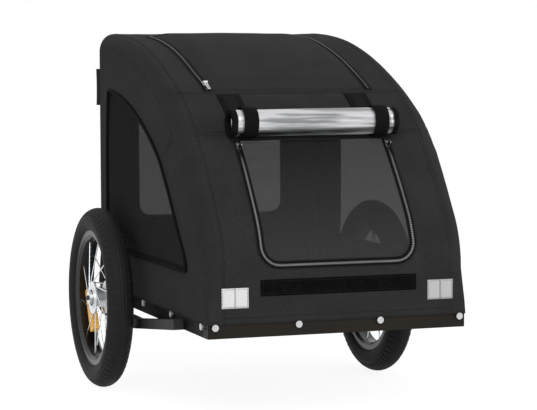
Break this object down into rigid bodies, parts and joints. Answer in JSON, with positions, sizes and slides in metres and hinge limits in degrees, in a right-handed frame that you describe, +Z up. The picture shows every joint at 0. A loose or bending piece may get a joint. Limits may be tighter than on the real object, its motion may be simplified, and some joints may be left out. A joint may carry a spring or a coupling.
{
  "type": "dog bike trailer",
  "caption": "Two-wheeled pet trailer for towing behind a bicycle: cloth cabin over hoops on a tube frame, zipped mesh front door, zipped roof flap, mesh windows and a rolled rain window.",
  "frame": {"origin": "middle of the footprint's bounding box on the ground", "axes": "+Z up, -Y towards the towing bicycle, X across the trailer"},
  "size_m": [0.5426, 0.6452, 0.5933],
  "materials": {
    "black_frame": "satin powder coat",
    "bright_steel": "zinc-plated steel",
    "black_plastic": "moulded plastic",
    "floor_board": "cloth-covered board",
    "charcoal_cloth": "coated Oxford weave",
    "black_mesh": "open polyester mesh",
    "black_trim": "woven webbing and piping",
    "reflective_cloth": "silver reflective cloth",
    "clear_sheet": "clear vinyl, rolled",
    "zip_metal": "plated zip metal",
    "tyre_rubber": "black rubber",
    "tube_rubber": "butyl rubber",
    "chrome_plate": "chrome-plated steel",
    "amber_lens": "amber prism lens"
  },
  "bodies": {
    "trailer": {"front_rail": "black_frame", "rear_rail": "black_frame", "left_rail": "black_frame", "right_rail": "black_frame", "floor_crossbars": "black_frame", "rear_hoop": "black_frame", "left_arch_tube": "black_frame", "right_arch_tube": "black_frame", "roof_bar": "black_frame", "axle_tube": "bright_steel", "left_axle_bow": "bright_steel", "right_axle_bow": "bright_steel", "left_axle": "bright_steel", "right_axle": "bright_steel", "rail_bolts": "bright_steel", "tow_bracket": "bright_steel", "hoop_sockets": "black_plastic", "floor_panel": "floor_board", "front_cover": "charcoal_cloth", "roof_cover": "charcoal_cloth", "left_cover": "charcoal_cloth", "right_cover": "charcoal_cloth", "rear_cover": "charcoal_cloth", "flag_sleeve": "charcoal_cloth", "left_window_mesh": "black_mesh", "right_window_mesh": "black_mesh", "rear_window_mesh": "black_mesh", "window_piping": "black_trim", "hook_loop_strip": "black_trim", "roll_straps": "black_trim", "door_zip": "black_trim", "roof_zip": "black_trim", "reflective_patches": "reflective_cloth", "rain_window_roll": "clear_sheet"},
    "left_wheel": {"left_tyre": "tyre_rubber", "left_inner_tube": "tube_rubber", "left_rim": "chrome_plate", "left_hub": "chrome_plate", "left_bearings": "bright_steel", "left_spokes": "chrome_plate", "left_reflector": "amber_lens"},
    "left_button": {"left_release_button": "black_plastic"},
    "left_door_slider_body": {"left_door_slider": "zip_metal"},
    "left_door_pull_body": {"left_door_pull": "black_frame"},
    "left_roof_slider_body": {"left_roof_slider": "zip_metal"},
    "left_roof_pull_body": {"left_roof_pull": "zip_metal"},
    "right_wheel": {"right_tyre": "tyre_rubber", "right_inner_tube": "tube_rubber", "right_rim": "chrome_plate", "right_hub": "chrome_plate", "right_bearings": "bright_steel", "right_spokes": "chrome_plate", "right_reflector": "amber_lens"},
    "right_button": {"right_release_button": "black_plastic"},
    "right_door_slider_body": {"right_door_slider": "zip_metal"},
    "right_door_pull_body": {"right_door_pull": "black_frame"},
    "door": {"front_door_mesh": "black_mesh"},
    "flap": {"roof_flap": "charcoal_cloth"}
  },
  "joints": [
    {"name": "left_wheel_spin", "type": "hinge", "parent": "trailer", "child": "left_wheel", "pos_m": [-0.248, 0.1446, 0.15], "axis": [1, 0, 0], "continuous": true},
    {"name": "left_release_press", "type": "slide", "parent": "trailer", "child": "left_button", "axis": [1, 0, 0], "range_m": [0, 0.0025], "stiffness_N_per_m": 300, "springref_m": -0.004},
    {"name": "left_door_zip_run", "type": "hinge", "parent": "trailer", "child": "left_door_slider_body", "pos_m": [-0.1225, 0.40601, -0.1745], "axis": [1, 0, 0], "range_deg": [0, 7]},
    {"name": "left_door_pull_swing", "type": "hinge", "parent": "left_door_slider_body", "child": "left_door_pull_body", "pos_m": [-0.1225, -0.21714, 0.41761], "axis": [-1, 0, 0], "range_deg": [0, 90]},
    {"name": "left_roof_zip_run", "type": "hinge", "parent": "trailer", "child": "left_roof_slider_body", "pos_m": [-0.1365, 0.2716, -0.19706], "axis": [-1, 0, 0], "range_deg": [0, 22]},
    {"name": "left_roof_pull_swing", "type": "hinge", "parent": "left_roof_slider_body", "child": "left_roof_pull_body", "pos_m": [-0.1365, -0.0919, 0.51152], "axis": [-1, 0, 0], "range_deg": [0, 150]},
    {"name": "right_wheel_spin", "type": "hinge", "parent": "trailer", "child": "right_wheel", "pos_m": [0.248, 0.1446, 0.15], "axis": [1, 0, 0], "continuous": true},
    {"name": "right_release_press", "type": "slide", "parent": "trailer", "child": "right_button", "axis": [-1, 0, 0], "range_m": [0, 0.0025], "stiffness_N_per_m": 300, "springref_m": -0.004},
    {"name": "right_door_zip_run", "type": "hinge", "parent": "trailer", "child": "right_door_slider_body", "pos_m": [0.1225, 0.40601, -0.1745], "axis": [1, 0, 0], "range_deg": [0, 7]},
    {"name": "right_door_pull_swing", "type": "hinge", "parent": "right_door_slider_body", "child": "right_door_pull_body", "pos_m": [0.1225, -0.21714, 0.41761], "axis": [-1, 0, 0], "range_deg": [0, 90]},
    {"name": "front_door_swing", "type": "hinge", "parent": "trailer", "child": "door", "pos_m": [0, -0.20195, 0.4224], "axis": [-1, 0, 0], "range_deg": [0, 58]},
    {"name": "roof_flap_swing", "type": "hinge", "parent": "trailer", "child": "flap", "pos_m": [0, -0.10247, 0.49738], "axis": [1, 0, 0], "range_deg": [0, 110]}
  ]
}
